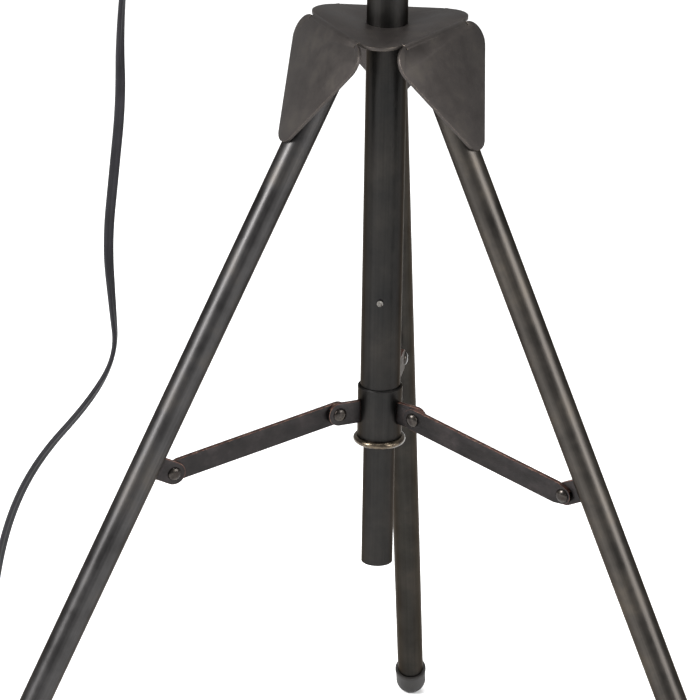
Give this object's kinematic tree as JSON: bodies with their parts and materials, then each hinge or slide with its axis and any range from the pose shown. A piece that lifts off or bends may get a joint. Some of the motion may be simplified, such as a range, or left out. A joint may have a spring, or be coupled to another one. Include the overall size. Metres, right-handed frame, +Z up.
{
  "type": "tripod floor lamp",
  "caption": "Tripod floor lamp with folding tubular legs on a folded-sheet hub, a sliding strut spreader, a telescoping mast and a tilting spot head.",
  "frame": {"origin": "on the floor, on the axis of the mast", "axes": "+X the way the spot head points, +Y towards the rear leg, +Z up along the mast"},
  "size_m": [0.6076, 0.5291, 1.4825],
  "materials": {
    "bronze_paint": "dark bronze satin lacquer on steel",
    "shade_metal": "dark bronze satin lacquer on spun aluminium",
    "steel_pin": "antique bronze plated steel",
    "nylon": "black nylon",
    "foot_plastic": "grey-brown moulded cap",
    "knob_plastic": "black moulded plastic",
    "lampholder_plastic": "black heat-proof plastic",
    "bulb_glass": "opal glass",
    "cord_pvc": "dark flexible vinyl",
    "brass_blade": "nickel-plated brass"
  },
  "bodies": {
    "stand": {"centre_tube": "bronze_paint", "hub_bracket": "bronze_paint", "leg_clevises": "bronze_paint", "hinge_pins": "steel_pin", "lower_bush": "nylon", "upper_bush": "nylon", "lock_collar": "bronze_paint", "travel_stop_pin": "steel_pin", "cord_lower": "cord_pvc", "cord_coil": "cord_pvc", "cord_tail": "cord_pvc", "plug": "knob_plastic", "plug_blades": "brass_blade"},
    "collar": {"spreader_sleeve": "bronze_paint", "spreader_bead": "steel_pin", "spreader_ears": "bronze_paint", "inner_rivets": "steel_pin"},
    "leg_left": {"leg_tube_left": "bronze_paint", "leg_knuckle_left": "steel_pin", "leg_foot_left": "foot_plastic", "leg_lug_left": "bronze_paint", "lug_rivet_left": "steel_pin"},
    "strut_left": {"strut_bar_left": "bronze_paint", "strut_rivet_left": "steel_pin"},
    "leg_right": {"leg_tube_right": "bronze_paint", "leg_knuckle_right": "steel_pin", "leg_foot_right": "foot_plastic", "leg_lug_right": "bronze_paint", "lug_rivet_right": "steel_pin"},
    "strut_right": {"strut_bar_right": "bronze_paint", "strut_rivet_right": "steel_pin"},
    "leg_rear": {"leg_tube_rear": "bronze_paint", "leg_knuckle_rear": "steel_pin", "leg_foot_rear": "foot_plastic", "leg_lug_rear": "bronze_paint", "lug_rivet_rear": "steel_pin"},
    "strut_rear": {"strut_bar_rear": "bronze_paint", "strut_rivet_rear": "steel_pin"},
    "mast": {"mast_tube": "bronze_paint", "mast_top_boss": "steel_pin", "yoke": "bronze_paint", "yoke_bolt": "steel_pin", "switch_body": "knob_plastic", "cord_upper": "cord_pvc"},
    "head": {"shade_drum": "shade_metal", "shade_back": "shade_metal", "front_bezel": "shade_metal", "rear_cap": "shade_metal", "lampholder": "lampholder_plastic", "bulb": "bulb_glass", "cord_gland": "knob_plastic", "tilt_pivots": "steel_pin"},
    "height_knob_body": {"height_knob": "knob_plastic"},
    "tilt_knob_front_body": {"tilt_knob_front": "knob_plastic"},
    "tilt_knob_rear_body": {"tilt_knob_rear": "knob_plastic"},
    "rocker": {"switch_rocker": "knob_plastic"}
  },
  "joints": [
    {"name": "collar_slide", "type": "slide", "parent": "stand", "child": "collar", "axis": [0, 0, 1], "range_m": [0, 0.05825]},
    {"name": "leg_fold_left", "type": "hinge", "parent": "stand", "child": "leg_left", "pos_m": [-0.03023, -0.01746, 0.608], "axis": [0.5, -0.866, 0], "range_deg": [0, 10.01]},
    {"name": "leg_fold_right", "type": "hinge", "parent": "stand", "child": "leg_right", "pos_m": [0.03023, -0.01746, 0.608], "axis": [0.5, 0.866, 0], "range_deg": [0, 10.01]},
    {"name": "leg_fold_rear", "type": "hinge", "parent": "stand", "child": "leg_rear", "pos_m": [0, 0.03491, 0.608], "axis": [-1, 0, 0], "range_deg": [0, 10.01]},
    {"name": "strut_swing_left", "type": "hinge", "parent": "collar", "child": "strut_left", "pos_m": [-0.02503, -0.01445, 0.3692], "axis": [0.5, -0.866, 0], "range_deg": [0, 43.5]},
    {"name": "strut_swing_right", "type": "hinge", "parent": "collar", "child": "strut_right", "pos_m": [0.02503, -0.01445, 0.3692], "axis": [0.5, 0.866, 0], "range_deg": [0, 43.5]},
    {"name": "strut_swing_rear", "type": "hinge", "parent": "collar", "child": "strut_rear", "pos_m": [0, 0.0289, 0.3692], "axis": [-1, 0, 0], "range_deg": [0, 43.5]},
    {"name": "mast_slide", "type": "slide", "parent": "stand", "child": "mast", "axis": [0, 0, 1], "range_m": [-0.22, 0.3], "deforming": ["cord_lower"]},
    {"name": "head_tilt", "type": "hinge", "parent": "mast", "child": "head", "pos_m": [0, 0, 1.365], "axis": [0, 1, 0], "range_deg": [-35, 60], "deforming": ["cord_upper"]},
    {"name": "height_knob_turn", "type": "hinge", "parent": "stand", "child": "height_knob_body", "pos_m": [0, -0.03, 0.827], "axis": [0, -1, 0], "range_deg": [0, 360]},
    {"name": "tilt_knob_front_turn", "type": "hinge", "parent": "head", "child": "tilt_knob_front_body", "pos_m": [0, -0.135, 1.365], "axis": [0, -1, 0], "range_deg": [0, 360]},
    {"name": "tilt_knob_rear_turn", "type": "hinge", "parent": "head", "child": "tilt_knob_rear_body", "pos_m": [0, 0.135, 1.365], "axis": [0, 1, 0], "range_deg": [0, 360]},
    {"name": "rocker_tilt", "type": "hinge", "parent": "mast", "child": "rocker", "pos_m": [-0.167, 0.003, 1.136], "axis": [1, 0, 0], "range_deg": [-6, 6]}
  ],
  "couplings": [
    {"joint": "leg_fold_left", "follows": "collar_slide", "rad_per_m": 2.996},
    {"joint": "leg_fold_right", "follows": "collar_slide", "rad_per_m": 2.996},
    {"joint": "leg_fold_rear", "follows": "collar_slide", "rad_per_m": 2.996},
    {"joint": "strut_swing_left", "follows": "collar_slide", "rad_per_m": 13.025},
    {"joint": "strut_swing_right", "follows": "collar_slide", "rad_per_m": 13.025},
    {"joint": "strut_swing_rear", "follows": "collar_slide", "rad_per_m": 13.025}
  ]
}
